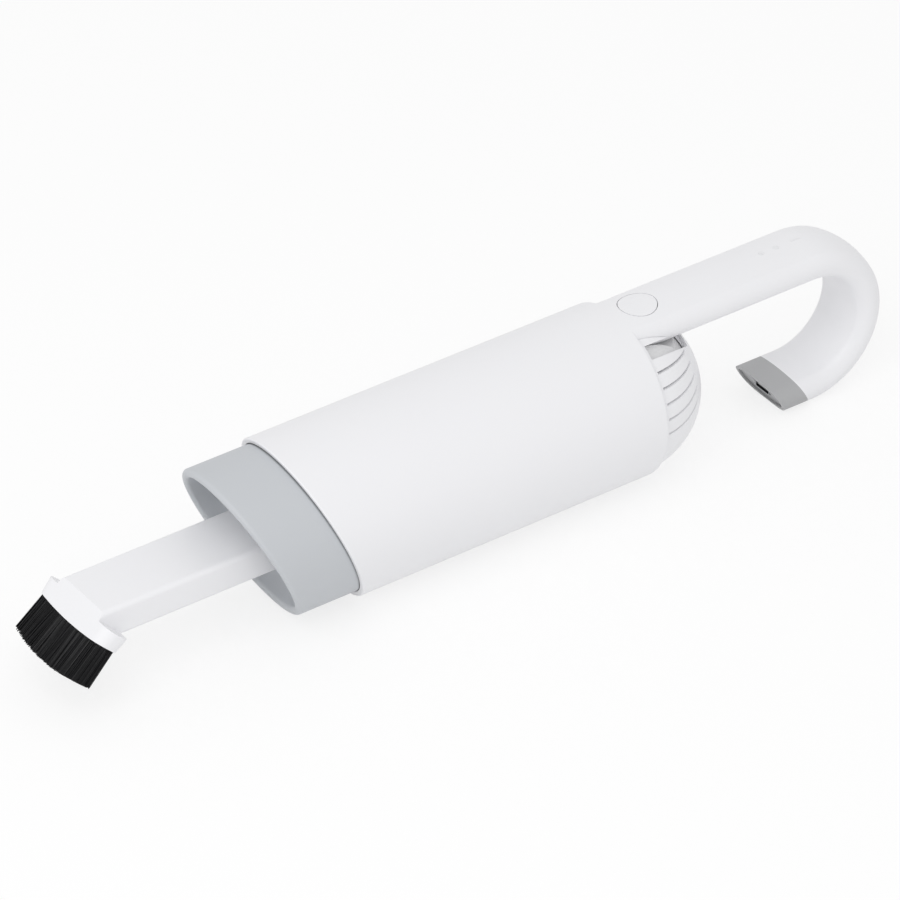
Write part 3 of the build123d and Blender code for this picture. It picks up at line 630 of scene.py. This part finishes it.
    def _turn(self, tree: ShapeTree, side_share: bpy.types.NodeSocket, face_share: bpy.types.NodeSocket,
              rise: bpy.types.NodeSocket) -> bpy.types.NodeSocket:
        """Turn each strand about itself, and then lean it with its clump and outwards.

        Args:
            tree: The tuft's tree.
            side_share: The socket that runs from -1 to 1 across the tuft.
            face_share: The socket that runs from -1 to 1 from face to face.
            rise: The socket that falls from 1 in the tuft's middle to 0 at its sides.

        Returns:
            The socket with the strand's rotation.
        """
        given = tree.given
        calm = tree.math("SQRT", tree.math("MAXIMUM", rise, 0.0))
        clump = tree.add("ShaderNodeTexNoise", {"Scale": self.clump_scale, "Detail": self.clump_detail})
        pull = tree.add("FunctionNodeSeparateColor", {0: clump.outputs["Color"]}).outputs
        face_pull = tree.math("SUBTRACT", pull[0], self.clump_middle)
        side_pull = tree.math("SUBTRACT", pull[1], self.clump_middle)
        face_clump = tree.math("MULTIPLY", tree.math("MULTIPLY", face_pull, self.clump_face_lean), calm)
        side_clump = tree.math("MULTIPLY", tree.math("MULTIPLY", side_pull, self.clump_side_lean), rise)
        face_fan = tree.math("MULTIPLY", face_share, given["Face Splay"])
        side_fan = tree.math("ADD", tree.math("MULTIPLY", side_share, given["Side Splay"]), given["Far Lean"])
        face_own = tree.math("MULTIPLY", tree.random(self.own_lean, Draw.FACE_LEAN), calm)
        side_own = tree.math("MULTIPLY", tree.random(self.own_lean, Draw.SIDE_LEAN), calm)
        lean = tree.vector(tree.math("ADD", tree.math("SUBTRACT", face_clump, face_fan), face_own),
                           tree.math("ADD", tree.math("ADD", side_clump, side_fan), side_own))
        own = tree.vector(z=tree.random(self.own_turn, Draw.OWN_TURN))
        turn = tree.add("FunctionNodeRotateRotation", {
            "Rotation": tree.rotation(own), "Rotate By": tree.rotation(lean)}, rotation_space="GLOBAL")
        return turn.outputs[0]

    def _size(self, tree: ShapeTree, rise: bpy.types.NodeSocket) -> bpy.types.NodeSocket:
        """Vary the strands' girth and length, with the longest in the tuft's middle.

        Args:
            tree: The tuft's tree.
            rise: The socket that falls from 1 in the tuft's middle to 0 at its sides.

        Returns:
            The socket with the strand's scale.
        """
        length = tree.math("ADD", tree.random(self.length_shares, Draw.LENGTH),
                           tree.math("MULTIPLY", rise, tree.given["Middle Share"]))
        return tree.vector(tree.random(self.girth_shares, Draw.GIRTH_ACROSS),
                           tree.random(self.girth_shares, Draw.GIRTH_UP), length)

    def _painted_sheen(self, tree: ShapeTree) -> bpy.types.NodeSocket:
        """Paint bands of strands lighter, a painted sheen standing in for the highlights on the black
        bristles.

        Args:
            tree: The tuft's tree.

        Returns:
            The socket with the strand's share of painted sheen.
        """
        bands = tree.add("ShaderNodeTexNoise", {"Scale": self.band_scale, "Detail": self.band_detail})
        above = tree.math("SUBTRACT", bands.outputs[0], self.band_floor)
        band = tree.math("MAXIMUM", tree.math("MULTIPLY", above, self.band_gain), 0.0)
        return tree.math("MULTIPLY", band, tree.random(self.shine_shares, Draw.SHINE))


@dataclass
class ScrewSet:
    """A row of equal cross-head screws, in metres and radians."""

    name: str
    node: str
    start: Triple
    step: Triple
    turn: Triple
    shank_length: float
    head_radius: float = 2.1 * MM
    head_height: float = 1.5 * MM
    head_sides: int = 32
    shank_radius: float = 1.1 * MM
    shank_sides: int = 20
    cross_width: float = 0.5 * MM
    cross_depth: float = 0.7 * MM
    cross_length_share: float = 1.25
    count: int = 2

    def build(self, paint: Paintbox) -> bpy.types.Object:
        """Make the screws, each with a cross cut in its head.

        Args:
            paint: The materials.

        Returns:
            The screws as one plain mesh.
        """
        tree = ShapeTree(f"{self.name}_shape", {
            "Head Radius": ("Float", self.head_radius), "Head Height": ("Float", self.head_height),
            "Shank Radius": ("Float", self.shank_radius), "Shank Length": ("Float", self.shank_length),
            "Cross Width": ("Float", self.cross_width), "Cross Depth": ("Float", self.cross_depth),
            "Start": ("Vector", self.start), "Step": ("Vector", self.step), "Turn": ("Vector", self.turn),
        })
        given = tree.given
        row = tree.add("GeometryNodeMeshLine", {
            "Count": self.count, "Start Location": given["Start"], "Offset": given["Step"]}, mode="OFFSET")
        points = tree.add("GeometryNodeMeshToPoints", {"Mesh": row.outputs[0]})
        screws = tree.add("GeometryNodeInstanceOnPoints", {
            "Points": points.outputs[0], "Instance": self._screw(tree),
            "Rotation": tree.rotation(given["Turn"]),
        })
        tree.close(screws.outputs[0], paint.materials["steel"])
        piece = tree.piece(self.name, Matrix.Identity(4))
        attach(piece, Body.HOUSING.value)
        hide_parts(self.node)
        return piece

    def _screw(self, tree: ShapeTree) -> bpy.types.NodeSocket:
        """Make one screw, with its head's underside at the origin.

        Args:
            tree: The set's tree.

        Returns:
            The socket with the screw.
        """
        given = tree.given
        head = tree.add("GeometryNodeMeshCylinder", {
            "Vertices": self.head_sides, "Radius": given["Head Radius"], "Depth": given["Head Height"]})
        shank = tree.add("GeometryNodeMeshCylinder", {
            "Vertices": self.shank_sides, "Radius": given["Shank Radius"], "Depth": given["Shank Length"]})
        head_up = tree.vector(z=tree.math("DIVIDE", given["Head Height"], 2.0))
        shank_down = tree.vector(z=tree.math("DIVIDE", given["Shank Length"], -2.0))
        shank_set = tree.moved(shank.outputs[0], shank_down)
        length = tree.math("MULTIPLY", given["Head Radius"], self.cross_length_share)
        deep = tree.math("MULTIPLY", given["Cross Depth"], 2.0)
        top = tree.vector(z=given["Head Height"])
        cut = tree.moved(head.outputs[0], head_up)
        narrow = given["Cross Width"]
        for across, along in ((length, narrow), (narrow, length)):
            block = tree.add("GeometryNodeMeshCube", {"Size": tree.vector(across, along, deep)})
            carve = tree.add("GeometryNodeMeshBoolean", operation="DIFFERENCE")
            tree.feed(carve, {"Mesh 1": cut, "Mesh 2": tree.moved(block.outputs[0], top)})
            cut = carve.outputs[0]
        screw = tree.add("GeometryNodeJoinGeometry", {0: cut})
        tree.feed(screw, {0: shank_set})
        return screw.outputs[0]


def handle_screw_set() -> ScrewSet:
    """Size the screws that hold the hook's spine, driven in from below.

    Returns:
        The set, in the place of the solid screws.
    """
    low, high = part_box("handle_screws")
    head, radius = ScrewSet.head_height, ScrewSet.head_radius
    return ScrewSet("handle_screw_set", "handle_screws",
                    start=(low[0] + radius, 0.0, low[2] + head),
                    step=(high[0] - low[0] - 2 * radius, 0.0, 0.0),
                    turn=(math.pi, 0.0, 0.0), shank_length=high[2] - low[2] - head)


def fan_screw_set() -> ScrewSet:
    """Size the screws that hold the fan's casing, one on each side of the motor.

    Returns:
        The set, in the place of the solid screws.
    """
    low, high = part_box("fan_screws")
    head, radius = ScrewSet.head_height, ScrewSet.head_radius
    return ScrewSet("fan_screw_set", "fan_screws",
                    start=(high[0] - head, low[1] + radius, (low[2] + high[2]) / 2),
                    step=(0.0, high[1] - low[1] - 2 * radius, 0.0),
                    turn=(0.0, math.pi / 2, 0.0), shank_length=high[0] - low[0] - head)


@dataclass
class CarriedPieces:
    """The hard pieces that keep their own solids and get only a finish."""

    replaced: tuple[str, ...] = ("brush_bristles", "handle_screws", "fan_screws")

    def dress(self, paint: Paintbox) -> list[str]:
        """Give each solid the finish of its slot.

        Args:
            paint: The materials.

        Returns:
            The names of the dressed pieces.
        """
        done = []
        for part in frame["record"]["subparts"]:
            if part["node"] in self.replaced:
                continue
            paint.dress(frame["nodes"][part["node"]], part["material_slot"])
            done.append(part["node"])
        return done


@dataclass
class Studio:
    """A pale floor, soft even light and the camera, in metres, degrees, millimetres of lens and watts.

    The rim is the middle of the shell's rear rim. The camera stands at its distance from the rim and looks
    past it, to the right and up by the two aims.
    """

    rim: Vector
    azimuth: float = -35.72
    elevation: float = 34.86
    distance: float = 2.4
    aim_right: float = -0.06206
    aim_up: float = -0.02299
    lens: float = 253.04
    sensor_width: float = 36.0
    clip_end: float = 100.0
    floor_size: float = 12.0
    shadow_share: float = 0.24
    floor_bounce: float = 0.95
    world_strength: float = 0.73
    seen_strength: float = 1.0
    lamp_power: float = 7.5
    lamp_size: float = 1.5
    lamp_place: Triple = (-0.80, -0.55, 1.18)
    white: tuple[float, ...] = (1.0, 1.0, 1.0, 1.0)

    def build(self) -> None:
        """Make the floor, the light and the camera."""
        floor = self._floor()
        self._world()
        self._lamp()
        self._camera()
        floor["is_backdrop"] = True

    def _floor(self) -> bpy.types.Object:
        """Lay a plain white floor that keeps the shadow, faintly where it is seen.

        Returns:
            The floor.
        """
        half = self.floor_size / 2
        corners = [(-half, -half, 0), (half, -half, 0), (half, half, 0), (-half, half, 0)]
        mesh = bpy.data.meshes.new("floor")
        mesh.from_pydata(corners, [], [tuple(range(len(corners)))])
        floor = bpy.data.objects.new("floor", mesh)
        bpy.context.scene.collection.objects.link(floor)
        material = bpy.data.materials.new("floor_white")
        material.use_nodes = True
        nodes = NodeBuilder(material.node_tree)
        seen = self._seen(nodes)
        shader = material.node_tree.nodes["Principled BSDF"]
        nodes.feed(shader, {
            "Base Color": nodes.spread(seen, self.floor_bounce, self.seen_strength),
            "Roughness": 1.0, "Specular IOR Level": 0.0,
        })
        glow = nodes.add("ShaderNodeEmission", {"Color": self.white, "Strength": self.seen_strength})
        blend = nodes.add("ShaderNodeMixShader", {
            "Fac": nodes.spread(seen, 0.0, 1.0 - self.shadow_share),
            1: shader.outputs["BSDF"], 2: glow.outputs["Emission"],
        })
        nodes.feed(material.node_tree.nodes["Material Output"], {"Surface": blend.outputs["Shader"]})
        mesh.materials.append(material)
        return floor

    @staticmethod
    def _seen(nodes: NodeBuilder) -> bpy.types.NodeSocket:
        """Tell the rays that show a surface apart from those that light one.

        Args:
            nodes: The node tree that asks.

        Returns:
            A socket that is 1 for camera, glossy and transmission rays, and 0 for others.
        """
        path = nodes.add("ShaderNodeLightPath").outputs
        seen = path["Is Camera Ray"]
        for ray in ("Is Glossy Ray", "Is Transmission Ray"):
            seen = nodes.math("MAXIMUM", seen, path[ray])
        return seen

    def _world(self) -> None:
        """Light all sides softly, and show white behind the floor."""
        world = bpy.data.worlds.new("soft_white")
        bpy.context.scene.world = world
        world.use_nodes = True
        nodes = NodeBuilder(world.node_tree)
        level = nodes.spread(self._seen(nodes), self.world_strength, self.seen_strength)
        nodes.feed(world.node_tree.nodes["Background"], {"Color": self.white, "Strength": level})

    def _lamp(self) -> None:
        """Hang a wide lamp above the camera's side."""
        data = bpy.data.lights.new("soft_lamp", "AREA")
        data.shape = "DISK"
        data.size = self.lamp_size
        data.energy = self.lamp_power
        lamp = bpy.data.objects.new("soft_lamp", data)
        lamp.location = self.lamp_place
        lamp.rotation_mode = "QUATERNION"
        lamp.rotation_quaternion = (-Vector(self.lamp_place)).to_track_quat("-Z", "Y")
        bpy.context.scene.collection.objects.link(lamp)

    def _camera(self) -> None:
        """Stand the camera at the photograph's angle."""
        turn, rise = math.radians(self.azimuth), math.radians(self.elevation)
        back = Vector((math.sin(turn) * math.cos(rise), -math.cos(turn) * math.cos(rise), math.sin(rise)))
        right = Vector((math.cos(turn), math.sin(turn), 0.0))
        up = back.cross(right)
        eye = self.rim + back * self.distance
        aim = self.rim + right * self.aim_right + up * self.aim_up
        data = bpy.data.cameras.new("photo_camera")
        data.lens = self.lens
        data.sensor_width = self.sensor_width
        data.clip_end = self.clip_end
        camera = bpy.data.objects.new("photo_camera", data)
        camera.location = eye
        camera.rotation_mode = "QUATERNION"
        level = Matrix((right, up, back)).transposed().to_quaternion()
        swing = (-back).rotation_difference(aim - eye)
        camera.rotation_quaternion = swing @ level
        bpy.context.scene.collection.objects.link(camera)
        bpy.context.scene.camera = camera


def rear_rim(cad: tuple[Vector, Vector]) -> Vector:
    """Find the middle of the shell's rear rim, from which the brush and the camera are placed.

    Args:
        cad: The solids' lowest and highest corner.

    Returns:
        The rim's middle, which lies the shell's half width below the vacuum's top.
    """
    shell_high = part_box("main_shell")[1]
    return Vector((shell_high[0], 0.0, cad[1][2] - shell_high[1]))


def main() -> None:
    """Build and dress the vacuum, and set it in the studio."""
    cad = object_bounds()
    rim = rear_rim(cad)
    bpy.context.scene.view_settings.view_transform = "Standard"
    paint = Paintbox(FINISHES)
    for name in CarriedPieces().dress(paint):
        LOG.info("dressed %s", name)
    for maker in (BrushTuft(rim), handle_screw_set(), fan_screw_set()):
        piece = maker.build(paint)
        LOG.info("made %s with %d faces", piece.name, len(piece.data.polygons))
    Studio(rim).build()


if __name__ == "__main__":
    main()
